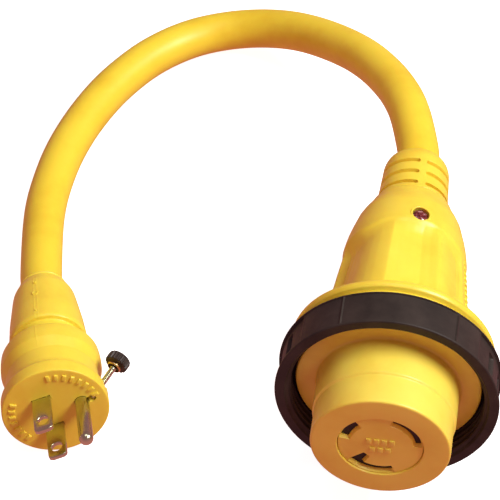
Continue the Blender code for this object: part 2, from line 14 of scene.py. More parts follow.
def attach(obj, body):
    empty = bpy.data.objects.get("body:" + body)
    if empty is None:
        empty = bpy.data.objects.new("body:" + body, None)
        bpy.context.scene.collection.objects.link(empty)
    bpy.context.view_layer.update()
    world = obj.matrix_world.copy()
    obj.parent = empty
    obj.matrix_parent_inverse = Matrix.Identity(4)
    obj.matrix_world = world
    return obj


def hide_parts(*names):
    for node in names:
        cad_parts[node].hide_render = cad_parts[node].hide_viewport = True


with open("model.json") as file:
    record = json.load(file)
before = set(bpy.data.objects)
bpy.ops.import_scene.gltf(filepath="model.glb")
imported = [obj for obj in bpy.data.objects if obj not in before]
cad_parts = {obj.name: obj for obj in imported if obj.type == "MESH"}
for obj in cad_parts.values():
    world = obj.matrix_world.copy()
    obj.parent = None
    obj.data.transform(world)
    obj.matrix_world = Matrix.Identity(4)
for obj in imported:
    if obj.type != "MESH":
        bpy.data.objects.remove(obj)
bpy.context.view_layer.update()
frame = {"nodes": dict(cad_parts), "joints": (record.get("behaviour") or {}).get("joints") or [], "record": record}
MM = 0.001

# ---- frames of the two ends, from the record ---------------------------------
record = frame["record"]
mounts = {m["name"]: m for m in record["mounts"]}
joints = {j["name"]: j for j in frame["joints"]}
RING_MID = 26.15                  # the middle of the ring, behind the connector face
PLUG_MARK_X, SCREW_TIP_X = -8.0, 12.6
SCREW_TILT = 38.0                 # lean of the locking screw from the plug's axis
NOSE_MARK_Y, FLANGE_Z = 18.0, 25.8


def frame_matrix(origin, x_axis, z_axis):
    z = Vector(z_axis).normalized()
    x = (Vector(x_axis) - z * Vector(x_axis).dot(z)).normalized()
    y = z.cross(x)
    m = Matrix((x, y, z)).transposed().to_4x4()
    m.translation = origin
    return m


def connector_frame():
    axis = Vector(mounts["connector_face"]["axis"]).normalized()
    face = Vector(mounts["connector_face"]["pos_m"])
    flange = Vector(mounts["sealing_flange"]["pos_m"]) + axis * FLANGE_Z * MM
    up = (flange - face).normalized()
    return frame_matrix(face - up * NOSE_MARK_Y * MM, up.cross(axis), axis)


def plug_frame():
    mark = Vector(mounts["plug_face"]["pos_m"])
    tip = Vector(joints["screw_turn"]["pos_m"])
    share = -PLUG_MARK_X / (SCREW_TIP_X - PLUG_MARK_X)
    return frame_matrix(mark.lerp(tip, share), tip - mark, mounts["plug_face"]["axis"])


CONN = connector_frame()
PLUG = plug_frame()
RING = (frame_matrix(joints["ring_turn"]["pos_m"], CONN.col[0].xyz, joints["ring_turn"]["axis"])
        @ Matrix.Translation((0, 0, RING_MID * MM)))
SCREW_TURN = Matrix.Rotation(radians(180 - SCREW_TILT), 4, "Y")
SCREW = PLUG @ Matrix.Translation(Vector((SCREW_TIP_X, 0, 0)) * MM) @ SCREW_TURN

# ---- camera -------------------------------------------------------------------
VIEW_ELEVATION = 45.0
VIEW_DISTANCE = 1.047
VIEW_TARGET = Vector((0.00077, 0.04273, 0.020))
CLIP_NEAR, CLIP_FAR = 0.05, 20
LENS_MM, SENSOR_MM = 218.3, 36.0


def build_camera():
    data = bpy.data.cameras.new("camera")
    data.lens = LENS_MM
    data.sensor_width = SENSOR_MM
    data.clip_start, data.clip_end = CLIP_NEAR, CLIP_FAR
    cam = bpy.data.objects.new("camera", data)
    e = radians(VIEW_ELEVATION)
    cam.location = VIEW_TARGET + VIEW_DISTANCE * Vector((0, -cos(e), sin(e)))
    cam.rotation_euler = (pi / 2 - e, 0, 0)
    bpy.context.scene.collection.objects.link(cam)
    bpy.context.scene.camera = cam


# ---- materials ------------------------------------------------------------------
class Nodes:
    """Small helper to write a node tree line by line."""

    def __init__(self, name):
        self.mat = bpy.data.materials.new(name)
        self.mat.use_nodes = True
        self.tree = self.mat.node_tree
        self.bsdf = self.tree.nodes["Principled BSDF"]
        self.place = self.add("ShaderNodeTexCoord").outputs["Object"]

    def add(self, kind, inputs=None, **settings):
        node = self.tree.nodes.new(kind)
        for key, value in settings.items():
            setattr(node, key, value)
        for key, value in (inputs or {}).items():
            self.put(node.inputs[key], value)
        return node

    def put(self, socket, value):
        if isinstance(value, bpy.types.NodeSocket):
            self.tree.links.new(value, socket)
        else:
            socket.default_value = value

    def set(self, **values):
        for key, value in values.items():
            self.put(self.bsdf.inputs[key.replace("_", " ")], value)

    def noise(self, scale, detail=3.0, rough=0.5, stretch=None):
        place = self.place
        if stretch:
            place = self.add("ShaderNodeMapping", {"Vector": place, "Scale": stretch}).outputs["Vector"]
        node = self.add("ShaderNodeTexNoise", {"Vector": place, "Scale": scale, "Detail": detail,
                                               "Roughness": rough})
        return node.outputs["Fac"]

    def ramp(self, fac, stops):
        node = self.add("ShaderNodeValToRGB", {"Fac": fac})
        elements = node.color_ramp.elements
        while len(elements) < len(stops):
            elements.new(0.5)
        for element, (position, color) in zip(elements, stops):
            element.position = position
            element.color = color if len(color) == 4 else (*color, 1.0)
        return node.outputs["Color"]

    def span(self, fac, low, high):
        return self.add("ShaderNodeMapRange", {"Value": fac, "To Min": low, "To Max": high}).outputs["Result"]

    def bump(self, height, strength, distance, normal=None):
        inputs = {"Height": height, "Strength": strength, "Distance": distance}
        if normal is not None:
            inputs["Normal"] = normal
        return self.add("ShaderNodeBump", inputs).outputs["Normal"]


def yellow_vinyl(name, base, rough, grain=0.00004):
    """Moulded vinyl: small colour drift, fine grain and soft uneven gloss."""
    n = Nodes(name)
    dark = tuple(c * f for c, f in zip(base, (0.93, 0.86, 0.7)))
    light = tuple(min(1, c * f) for c, f in zip(base, (1.03, 1.05, 1.2)))
    color = n.ramp(n.noise(45, 4, 0.6), [(0.3, dark), (0.52, base), (0.75, light)])
    fine = n.noise(2600, 2, 0.6)
    soft = n.noise(260, 3, 0.5)
    normal = n.bump(fine, 0.25, grain)
    normal = n.bump(soft, 0.18, grain * 3, normal)
    n.set(Base_Color=color, Roughness=n.span(n.noise(120, 3), rough - 0.07, rough + 0.08), Normal=normal)
    n.set(Subsurface_Weight=0.12, Subsurface_Scale=0.0025, IOR=1.47)
    n.bsdf.inputs["Subsurface Radius"].default_value = (1.0, 0.35, 0.08)
    return n.mat


def black_nylon(name, base, rough):
    """Moulded black nylon with lighter scuffs."""
    n = Nodes(name)
    light = tuple(c * 2.2 for c in base)
    color = n.ramp(n.noise(70, 5, 0.65), [(0.35, base), (0.7, light)])
    scuff = n.noise(520, 5, 0.7)
    normal = n.bump(n.noise(1900, 2, 0.5), 0.35, 0.00005)
    normal = n.bump(scuff, 0.15, 0.0001, normal)
    n.set(Base_Color=color, Roughness=n.span(scuff, rough - 0.1, rough + 0.16), Normal=normal)
    n.set(Specular_IOR_Level=0.28)
    return n.mat


def metal(name, base, rough, streak=(1, 1, 1)):
    """Bare or plated metal with fine drawn lines."""
    n = Nodes(name)
    dark = tuple(c * 0.78 for c in base)
    color = n.ramp(n.noise(140, 4, 0.6), [(0.3, dark), (0.7, base)])
    lines = n.noise(900, 3, 0.6, stretch=streak)
    n.set(Base_Color=color, Metallic=1.0, Roughness=n.span(lines, rough - 0.06, rough + 0.12),
          Normal=n.bump(lines, 0.12, 0.00003))
    return n.mat


def plain_plastic(name, base, rough=0.5):
    n = Nodes(name)
    dark = tuple(c * 0.8 for c in base)
    color = n.ramp(n.noise(160, 3), [(0.3, dark), (0.7, base)])
    n.set(Base_Color=color, Roughness=n.span(n.noise(400, 3), rough - 0.08, rough + 0.1),
          Normal=n.bump(n.noise(1500, 2), 0.2, 0.00004))
    return n.mat


def lens_plastic(name):
    n = Nodes(name)
    # dark red lens colour with pinkish silver patches; the silver patches are painted highlights of the lens
    # facets
    color = n.ramp(n.noise(900, 3, 0.7), [
        (0.4, (0.06, 0.008, 0.01)), (0.55, (0.22, 0.03, 0.03)), (0.66, (0.55, 0.46, 0.46))])
    n.set(Base_Color=color, Roughness=n.span(n.noise(800, 2), 0.05, 0.16))
    n.set(Normal=n.bump(n.noise(700, 2), 0.5, 0.0002))
    n.set(IOR=1.49, Coat_Weight=0.8, Coat_Roughness=0.05)
    return n.mat


YELLOW = yellow_vinyl("yellow_moulding", (0.92, 0.75, 0.065), 0.34)
# copy of the yellow with more blue, used on the nose, the contact face and its bars: a painted tint of the shade
# those front faces sit in
SHADE_TINTED_YELLOW = yellow_vinyl("yellow_shade_tinted", (0.93, 0.77, 0.10), 0.36)
JACKET = yellow_vinyl("cable_jacket", (0.91, 0.73, 0.045), 0.42, grain=0.00007)
BLACK = black_nylon("black_ring", (0.019, 0.015, 0.012), 0.5)
KNOB_BLACK = black_nylon("black_knob", (0.03, 0.022, 0.018), 0.38)
NICKEL = metal("nickel_plate", (0.66, 0.68, 0.46), 0.18, (1, 0.15, 1))
BRASS = metal("brass", (0.80, 0.56, 0.22), 0.22)
STEEL = metal("steel", (0.66, 0.66, 0.68), 0.25)
NYLON = plain_plastic("white_nylon", (0.80, 0.78, 0.72))
LENS = lens_plastic("lens_plastic")
SLOT_FINISH = {
    "yellow_moulding": YELLOW, "cable_jacket": JACKET, "black_ring": BLACK, "nickel_plate": NICKEL,
    "brass": BRASS, "steel": STEEL, "white_nylon": NYLON, "lens_plastic": LENS,
    "lamp_body": plain_plastic("lamp_body", (0.75, 0.70, 0.66), 0.2),
    "resistor_body": plain_plastic("resistor_body", (0.62, 0.50, 0.32)),
    "black_insulation": plain_plastic("black_insulation", (0.02, 0.02, 0.02), 0.45),
    "white_insulation": plain_plastic("white_insulation", (0.80, 0.80, 0.77), 0.45),
    "green_insulation": plain_plastic("green_insulation", (0.03, 0.30, 0.09), 0.45),
}


def finish_cad_nodes():
    """Every node carried over from the CAD gets the finish of its own slot."""
    for part in record["subparts"]:
        node = frame["nodes"][part["node"]]
        node.data.materials.clear()
        node.data.materials.append(SLOT_FINISH[part["material_slot"]])


# ---- mesh helpers ------------------------------------------------------------------
def place(name, mesh, where, mat, slot_name, body="root", nodes=(), sharp=32):
    """Puts a millimetre mesh into a frame, as a piece that rides on a body."""
    mesh.transform(where @ Matrix.Scale(MM, 4))
    mesh.materials.clear()
    mesh.materials.append(mat)
    mesh.shade_smooth()
    mesh.set_sharp_from_angle(angle=radians(sharp))
    obj = bpy.data.objects.new(name, mesh)
    bpy.context.scene.collection.objects.link(obj)
    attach(obj, body)
    if nodes:
        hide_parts(*nodes)
    return obj


def rounded(points, steps=5):
    """Profile with its corners rounded: each point is (r, z) or (r, z, radius)."""
    result = []
    count = len(points)
    for i, point in enumerate(points):
        r, z = point[:2]
        radius = point[2] if len(point) > 2 else 0
        if not radius or i in (0, count - 1):
            result.append((r, z))
            continue
        here = Vector((r, z))
        back = (Vector(points[i - 1][:2]) - here)
        ahead = (Vector(points[i + 1][:2]) - here)
        reach = min(radius, back.length * 0.49, ahead.length * 0.49)
        a = here + back.normalized() * reach
        b = here + ahead.normalized() * reach
        for k in range(steps + 1):
            t = k / steps
            result.append(tuple((1 - t) ** 2 * a + 2 * t * (1 - t) * here + t * t * b))
    return result


def split_long(profile, longest):
    """Adds points so that no step along the profile is longer than this."""
    result = [profile[0]]
    for (r0, z0), (r1, z1) in zip(profile, profile[1:]):
        count = max(1, int(hypot(r1 - r0, z1 - z0) / longest + 0.999))
        result += [(r0 + (r1 - r0) * k / count, z0 + (z1 - z0) * k / count) for k in range(1, count + 1)]
    return result


def lathe(name, profile, sides=128, shape=None):
    """Surface of revolution about Z. shape(r, z, angle, index) may bend each point's radius.

    A profile whose ends are on the axis closes there, any other closes on itself.
    """
    verts, faces = [], []
    closed = profile[0][0] > 1e-6
    rows = []
    for index, (r, z) in enumerate(profile):
        if r < 1e-6:
            rows.append([len(verts)])
            verts.append((0, 0, z))
            continue
        rows.append(list(range(len(verts), len(verts) + sides)))
        for k in range(sides):
            a = 2 * pi * k / sides
            rr = shape(r, z, a, index) if shape else r
            verts.append((rr * cos(a), rr * sin(a), z))
    pairs = list(zip(rows, rows[1:]))
    if closed:
        pairs.append((rows[-1], rows[0]))
    for upper, lower in pairs:
        for k in range(sides):
            j = (k + 1) % sides
            if len(upper) == 1 and len(lower) == 1:
                continue
            if len(upper) == 1:
                faces.append((upper[0], lower[k], lower[j]))
            elif len(lower) == 1:
                faces.append((upper[k], lower[0], upper[j]))
            else:
                faces.append((upper[k], lower[k], lower[j], upper[j]))
    mesh = bpy.data.meshes.new(name)
    mesh.from_pydata(verts, [], faces)
    mesh.validate()
    return mesh


def plate(name, loops, z0, z1, bevel=0.0, bevel_steps=3):
    """Flat outline with holes, extruded between z0 and z1 with rounded edges."""
    curve = bpy.data.curves.new(name, "CURVE")
    curve.dimensions = "2D"
    curve.fill_mode = "BOTH"
    curve.extrude = abs(z1 - z0) / 2 - bevel
    curve.bevel_depth = bevel
    curve.bevel_resolution = bevel_steps
    curve.offset = -bevel
    for loop in loops:
        spline = curve.splines.new("POLY")
        spline.points.add(len(loop) - 1)
        for point, (x, y) in zip(spline.points, loop):
            point.co = (x, y, 0, 1)
        spline.use_cyclic_u = True
    obj = bpy.data.objects.new(name, curve)
    bpy.context.scene.collection.objects.link(obj)
    bpy.context.view_layer.update()
    mesh = bpy.data.meshes.new_from_object(obj.evaluated_get(bpy.context.evaluated_depsgraph_get()))
    bpy.data.objects.remove(obj)
    work = bmesh.new()
    work.from_mesh(mesh)
    bmesh.ops.remove_doubles(work, verts=work.verts, dist=1e-4)
    bmesh.ops.translate(work, verts=work.verts, vec=(0, 0, (z0 + z1) / 2))
    bmesh.ops.recalc_face_normals(work, faces=work.faces)
    work.to_mesh(mesh)
    work.free()
    return mesh


def carve(mesh, cutters):
    """Cuts other meshes out of a mesh, all in the same local millimetres."""
    target = bpy.data.objects.new("carve", mesh)
    bpy.context.scene.collection.objects.link(target)
    others = []
    for cutter in cutters:
        other = bpy.data.objects.new("cutter", cutter)
        bpy.context.scene.collection.objects.link(other)
        others.append(other)
        mod = target.modifiers.new("cut", "BOOLEAN")
        mod.operation = "DIFFERENCE"
        mod.solver = "EXACT"
        mod.object = other
    bpy.context.view_layer.update()
    result = bpy.data.meshes.new_from_object(target.evaluated_get(bpy.context.evaluated_depsgraph_get()))
    for obj in [target] + others:
        bpy.data.objects.remove(obj)
    return result


def stacked(name, layers):
    """Solid through outlines of equal length, given from the top down as (loop, z)."""
    work = bmesh.new()
    rows = [[work.verts.new((x, y, z)) for x, y in loop] for loop, z in layers]
    work.faces.new(rows[0])
    work.faces.new(rows[-1][::-1])
    count = len(rows[0])
    for upper, lower in zip(rows, rows[1:]):
        for k in range(count):
            j = (k + 1) % count
            work.faces.new((upper[k], lower[k], lower[j], upper[j]))
    mesh = bpy.data.meshes.new(name)
    work.to_mesh(mesh)
    work.free()
    return mesh


def circle(r, sides, x, y):
    turns = [2 * pi * k / sides for k in range(sides)]
    return [(x + r * cos(a), y + r * sin(a)) for a in turns]


def step(value, low, high):
    """Smooth step from 0 at low to 1 at high."""
    t = min(max((value - low) / (high - low), 0.0), 1.0)
    return t * t * (3 - 2 * t)


def turn_between(a, b):
    """Signed difference of two angles in degrees, -180 to 180."""
    return (a - b + 180) % 360 - 180


def arc_between(a, b):
    """Size of the difference of two angles in radians."""
    return abs((a - b + pi) % (2 * pi) - pi)


def quarter_round(r, tip):
    """Quarter circle from the tip on the axis, at height tip, down to radius r."""
    turns = [pi / 2 * k / 12 for k in range(13)]
    points = [(r * sin(t), tip - r + r * cos(t)) for t in turns]
    return [(0, points[0][1])] + points[1:]


def join_meshes(name, meshes):
    work = bmesh.new()
    for mesh in meshes:
        work.from_mesh(mesh)
        bpy.data.meshes.remove(mesh)
    result = bpy.data.meshes.new(name)
    work.to_mesh(result)
    work.free()
    return result


def bead(length, width, height, transform):
    """Small raised bar with soft edges, for moulded marks."""
    x, y = length / 2, width / 2
    outline = [(-x, -y), (x, -y), (x, y), (-x, y)]
    bar = plate("bead", [outline], -height, height, min(width, height * 2) * 0.3, 2)
    bar.transform(transform)
    return bar


# ---- cable ---------------------------------------------------------------------------
CABLE_R = 7.25
BOOT_END, NECK_END = 62.5, 125.5
CABLE_IN_PLUG, CABLE_IN_CONNECTOR = 44.0, 95.0
CABLE_SHIFT = Vector((0.77, 42.73, 0.0))
CABLE_ROUTE = [
    (-72.8, 28.8, 9.2), (-69.9, 51.2, 7.9), (-65.0, 69.2, 7.45), (-57.6, 86.3, 7.4), (-48.7, 101.1, 7.4),
    (-36.9, 114.9, 7.4), (-23.1, 124.7, 7.5), (-8.7, 128.5, 8.6), (6.0, 126.0, 12.0), (19.6, 117.5, 17.4),
    (32.6, 103.3, 24.0), (42.9, 86.9, 30.6), (51.0, 67.9, 36.4), (55.8, 49.6, 40.3), (58.1, 29.8, 41.45),
]


def smooth_route(route, count):
    """Evenly spaced points on a Catmull-Rom curve through the route's points."""
    fine = []
    pts = [Vector(p) for p in route]
    pts = [2 * pts[0] - pts[1]] + pts + [2 * pts[-1] - pts[-2]]
    for a, b, c, d in zip(pts, pts[1:], pts[2:], pts[3:]):
        for i in range(24):
            t = i / 24
            fine.append(0.5 * (2 * b + (c - a) * t + (2 * a - 5 * b + 4 * c - d) * t * t
                               + (3 * b - a - 3 * c + d) * t ** 3))
    fine.append(pts[-2])
    for _ in range(12):
        inner = [(p + 2 * q + r) / 4 for p, q, r in zip(fine, fine[1:], fine[2:])]
        fine = [fine[0]] + inner + [fine[-1]]
    run = [0.0]
    for p, q in zip(fine, fine[1:]):
        run.append(run[-1] + (q - p).length)
    result, k = [], 0
    for i in range(count):
        want = run[-1] * i / (count - 1)
        while k < len(run) - 2 and run[k + 1] < want:
            k += 1
        result.append(fine[k].lerp(fine[k + 1], (want - run[k]) / (run[k + 1] - run[k])))
    return result


def behind(where, z):
    """Point on an end's axis, in millimetres behind its face."""
    return (where @ Vector((0, 0, -z * MM))) / MM


def build_cable():
    start = [behind(PLUG, z) for z in (CABLE_IN_PLUG, 53, BOOT_END, BOOT_END + 9)]
    finish = [behind(CONN, z) for z in (NECK_END + 2.5, 119.5, 109.5, CABLE_IN_CONNECTOR)]
    points = smooth_route(start + [Vector(p) + CABLE_SHIFT for p in CABLE_ROUTE] + finish, 180)
    curve = bpy.data.curves.new("cable", "CURVE")
    curve.dimensions = "3D"
    curve.bevel_depth = CABLE_R * MM
    curve.bevel_resolution = 14
    curve.use_fill_caps = True
    spline = curve.splines.new("POLY")
    spline.points.add(len(points) - 1)
    for point, co in zip(spline.points, points):
        point.co = (*(co * MM), 1)
    spline.use_smooth = True
    curve.materials.append(JACKET)
    cable = bpy.data.objects.new("cable", curve)
    bpy.context.scene.collection.objects.link(cable)
    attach(cable, "root")
    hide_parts("cable_jacket")


# ---- connector --------------------------------------------------------------------------
# contact slots: inner and outer radius, first and last angle; the ground slot's hook: radius and angles
CONTACTS = {"line": (11.2, 13.1, 8, 72), "neutral": (10.5, 13.1, 130, 167), "ground": (10.8, 12.8, 232, 289)}
HOOK = (7.2, 221, 238)
CONTACT_CIRCLE, SLOT_CORNER = 12, 0.3
FACE_R, DISC_R, FACE_SINK = 13.9, 13.65, 0.6
# the last is how far below the sunken face the black sheet of painted shade sits in each slot
SLOT_BEVEL, SLOT_BEVEL_DEPTH, SLOT_SHADE_DEPTH = 0.65, 1.1, 1.45


def build_nose():
    profile = rounded([
        (FACE_R, -0.25), (FACE_R + 0.15, 0, 0.15), (22.6, 0, 0.9), (22.6, -11.2, 0.3), (23.2, -11.9, 0.4),
        (23.2, -25.3, 0.5), (23.8, -25.8, 0.5), (30.2, -25.8, 0.6), (30.2, -28.8, 0.3), (26.2, -28.8, 0.2),
        (26.2, -36.7, 0.3), (19.6, -36.7, 0.3), (19.6, -50, 0.5), (17.8, -50, 0.3), (17.8, -31, 0.2),
        (18.9, -31, 0.2), (18.9, -7.9, 0.2), (FACE_R, -7.9)])
    place("nose", lathe("nose", profile, 160), CONN, SHADE_TINTED_YELLOW, "yellow_moulding", nodes=["connector_nose"])


def contact_slot(name, grow):
    """Arc slot outline, grown by an amount. The ground slot has a hook turned inwards."""
    r0, r1, a0, a1 = CONTACTS[name]
    low, high = r0 - grow, r1 + grow
    wide = degrees(grow / CONTACT_CIRCLE)
    first, last = a0 - wide, a1 + wide
    corner = degrees(SLOT_CORNER / CONTACT_CIRCLE)
    if name == "ground":
        first = HOOK[1] - wide
    outer = [(first, high - SLOT_CORNER)]
    outer += [(first + corner + (last - first - 2 * corner) * k / 20, high) for k in range(21)]
    outer += [(last, high - SLOT_CORNER), (last, low + SLOT_CORNER)]
    if name == "ground":
        end, deep = HOOK[2] + wide, HOOK[0] - grow
        inner = [(last - corner + (end - last + corner) * k / 20, low) for k in range(21)]
        inner += [(end, deep + SLOT_CORNER), (end - corner, deep), (first + corner, deep),
                  (first, deep + SLOT_CORNER)]
    else:
        inner = [(last - corner + (first - last + 2 * corner) * k / 20, low) for k in range(21)]
        inner += [(first, low + SLOT_CORNER)]
    return [(r * cos(radians(a)), r * sin(radians(a))) for a, r in outer + inner]


def build_contact_face():
    """Sunken disc with bevelled slots, a black sheet of painted shade a little way into each, and plain raised
    bars.
    """
    disc = lathe("contact_face", rounded([
        (0, -FACE_SINK), (DISC_R, -FACE_SINK, 0.25), (DISC_R, -7.6, 0.2), (0, -7.6)]), 160)
    bevel_end = -FACE_SINK - SLOT_BEVEL_DEPTH
    layers = ((SLOT_BEVEL + 0.1, 1.0), (SLOT_BEVEL, -FACE_SINK), (0.0, bevel_end), (0.0, -9.0))
    cutters = [stacked("slot", [(contact_slot(name, grow), z) for grow, z in layers]) for name in CONTACTS]
    disc = carve(disc, cutters)
    place("contact_disc", disc, CONN, SHADE_TINTED_YELLOW, "yellow_moulding", nodes=["contact_face"], sharp=28)
    # black sheets a little way into each slot: painted shade for the dark depth of the slots
    top = -FACE_SINK - SLOT_SHADE_DEPTH
    shade_sheets = [plate("slot_shade_sheet", [contact_slot(name, 0.04)], top - 0.25, top) for name in CONTACTS]
    place("slot_shade_sheets", join_meshes("slot_shade_sheets", shade_sheets), CONN, BLACK, "yellow_moulding")
    marks = []
    for y, count in ((2.1, 4), (-1.9, 3)):
        for k in range(count):
            spot = Matrix.Translation(((k - (count - 1) / 2) * 2.5, y, -FACE_SINK))
            marks.append(bead(1.7, 2.2, 0.5, spot))
    place("disc_marks", join_meshes("disc_marks", marks), CONN, SHADE_TINTED_YELLOW, "yellow_moulding")


# ---- locking ring: depths behind the face, angles from the top -----------------------------
RING_FRONT, RING_REAR = 19.4, 32.9
RING_R, WEB_R = 36.4, 26.7
THREAD_ROOT, THREAD_CREST, THREAD_PITCH = 32.7, 31.5, 2.6
RIM_WIDTH, RIM_RISE, RIDGE_RISE = 0.8, 0.38, 0.42
PANEL_RIDGES = (-26.0, 35.5, 154.0, 215.5)
GRIP_ARC, GRIP_ARC_DROP = (52, 128), 0.55
NOTCH_ANGLES = (66, 82, 98, 114)
NOTCH_DEPTH, NOTCH_HALF_WIDTH, NOTCH_HALF_LENGTH = 1.1, 1.1, 3.3


def ring_outside(r, z, angle):
    """Outer skin of the ring: smooth panels, thin ridges and notched grip arcs."""
    top = degrees(pi / 2 - angle) % 360
    side = abs(turn_between(top, 0))
    depth = -z - RING_FRONT
    length = RING_REAR - RING_FRONT
    inner = RIM_WIDTH + 0.25
    body = step(depth, RIM_WIDTH, inner) * (1 - step(depth, length - inner, length - RIM_WIDTH))
    out = r - RIM_RISE * body
    first, last = GRIP_ARC
    out -= GRIP_ARC_DROP * step(side, first, first + 1.5) * (1 - step(side, last - 1.5, last)) * body
    for ridge in PANEL_RIDGES:
        away = abs(turn_between(top, ridge)) * pi / 180 * r
        out += RIDGE_RISE * body * (1 - step(away, 0.12, 0.4))
    for notch in NOTCH_ANGLES:
        across = abs(side - notch) * pi / 180 * r
        along = abs(depth - length / 2)
        hole = hypot(max(across - NOTCH_HALF_WIDTH, 0), max(along - NOTCH_HALF_LENGTH, 0))
        out -= NOTCH_DEPTH * (1 - step(hole, 0.35, 0.75))
    return out


def ring_inside(z, angle):
    """Thread: a rounded ridge that climbs by one pitch in a turn."""
    depth = -z - RING_FRONT
    phase = ((depth - 0.7) / THREAD_PITCH - angle / (2 * pi)) % 1.0
    tooth = step(phase, 0.15, 0.36) * (1 - step(phase, 0.6, 0.82))
    fade = step(depth, 0.5, 1.3) * (1 - step(depth, 9.6, 10.6))
    return THREAD_ROOT - (THREAD_ROOT - THREAD_CREST) * tooth * fade


def build_ring():
    front, rear = -RING_FRONT, -RING_REAR
    outside = split_long(rounded([
        (33.2, front), (RING_R, front, 0.6), (RING_R, rear, 0.8), (WEB_R, rear, 0.4),
        (WEB_R, rear + 1.9, 0.3), (THREAD_ROOT, rear + 1.9, 0.2), (THREAD_ROOT, rear + 2.3)]), 0.22)
    thread_rows = [(THREAD_ROOT, rear + 2.4 + 0.13 * k) for k in range(82)]
    profile = outside + thread_rows + [(33.0, front - 0.25)]
    outer_rows = {i for i, (r, z) in enumerate(profile[:len(outside)]) if r > RING_R - 0.5}
    inner_rows = set(range(len(outside), len(outside) + len(thread_rows)))

    def shape(r, z, angle, index):
        if index in outer_rows:
            return ring_outside(r, z, angle)
        if index in inner_rows:
            return ring_inside(z, angle)
        return r

    mesh = lathe("locking_ring_fine", profile, 540, shape)
    place("threaded_ring", mesh, RING, BLACK, "black_ring", "locking_ring", ["locking_ring"], 40)


# ---- grip, indicator and strain relief ------------------------------------------------------
# scalloped finger panels: angle from the top and depth, the same again on the underside
SCALLOPS = (
    (-90, 0.5), (-85, 0.3), (-79, 0.2), (-76, 0.4), (-73, 1.5), (-69, 2.7), (-60, 2.9), (-50, 2.4),
    (-40, 1.5), (-30, 0.75), (-22, 0.3), (-14, 0.05), (-11, 0.0), (-4, 1.0), (4, 1.75), (12, 2.2), (18, 2.35),
    (26, 1.45), (32, 0.25), (35, 0.0), (38, 0.1), (44, 0.45), (52, 1.0), (58, 1.2), (63, 0.9), (67, 0.2),
    (76, 0.2), (90, 0.5))
# depth behind the face and radius of the grip
GRIP_STATIONS = (
    (42.9, 30.2), (43.6, 28.0), (44.4, 26.6), (45.4, 25.9), (47.5, 24.9), (52, 24.2), (60, 23.3), (68, 22.4),
    (76, 21.4), (82, 20.6), (85, 20.1), (88, 19.4), (91, 18.6), (94, 17.8), (97, 16.5), (100, 14.9),
    (103.5, 13.5))
ARCH_Z, ARCH_DROP, PANEL_STEP = 81.5, 2.6, 0.4
GRIP_MARK_SIDES = (76, -104)


def between(table, value):
    """Value read off a table of (place, value) points, straight between them."""
    places = [a for a, _ in table]
    values = [b for _, b in table]
    return float(np.interp(value, places, values))


def grip_radius(z):
    return between(GRIP_STATIONS, z)


def grip_flutes(z, top):
    """How far the arched finger panels are pressed in, at an angle from the top."""
    lean = min(abs(turn_between(top, 8)), abs(turn_between(top, 188)))
    arch = ARCH_Z - ARCH_DROP * step(lean, 18, 55)
    edge = 1 - step(z, arch - 1.6, arch + 0.6)
    start = step(z, 44.5, 48.5)
    around = (top + 90) % 180 - 90
    return (PANEL_STEP * edge + between(SCALLOPS, around) * step(arch + 0.8 - z, 0, 7)) * start


def build_grip():
    lip = rounded([
        (19.9, -37.0), (30.8, -37.0, 0.2), (31.9, -37.2, 0.3), (32.0, -38.0, 0.2), (31.6, -38.3, 0.2),
        (33.2, -39.1, 0.3), (33.7, -40.3, 0.9), (33.2, -42.0, 0.9), (30.2, -42.9)], 4)
    outer = []
    for first, gap, count in ((43.1, 0.15, 6), (44, 0.6, 56), (77.7, 0.25, 20), (82.8, 0.6, 34)):
        outer += [(grip_radius(first + gap * k), -(first + gap * k)) for k in range(count)]
    outer += [(13.4, -103.2), (13.15, -103.45)]
    inner = [(9.3, -103.5), (9.3, -94.0), (12.5, -86.0), (15.5, -70.0), (17.8, -56.0), (19.9, -50.5)]
    profile = lip + outer + inner
    fluted = range(len(lip), len(lip) + len(outer))

    def shape(r, z, angle, index):
        if index not in fluted or z < -83:
            return r
        return r - grip_flutes(-z, degrees(pi / 2 - angle))

    body = lathe("grip_shell", profile, 360, shape)
    body = carve(body, [lens_cutter()])
    place("grip", body, CONN, YELLOW, "yellow_moulding", nodes=["connector_grip"], sharp=35)
    marks = []
    for side in GRIP_MARK_SIDES:
        turn = Matrix.Rotation(radians(90 - side), 4, "Z")
        for k in range(12):
            z = 51.0 + 2.35 * k
            out = Matrix.Translation((grip_radius(z) - 0.75, 0, -z))
            marks.append(bead(1.3, 2.4, 0.6, turn @ out @ Matrix.Rotation(radians(88), 4, "Y")))
    place("grip_marks", join_meshes("grip_marks", marks), CONN, YELLOW, "yellow_moulding")


LENS_Z, LENS_ANGLE, LENS_R = 84.4, 77.5, 2.7
LENS_PLACE = (Matrix.Rotation(radians(LENS_ANGLE), 4, "Z") @ Matrix.Translation((0, 0, -LENS_Z))
              @ Matrix.Rotation(pi / 2, 4, "Y"))


def lens_cutter():
    cutter = lathe("lens_hole", [(0, 26), (LENS_R + 0.25, 26), (LENS_R + 0.25, 14), (0, 14)], 64)
    cutter.transform(LENS_PLACE)
    return cutter


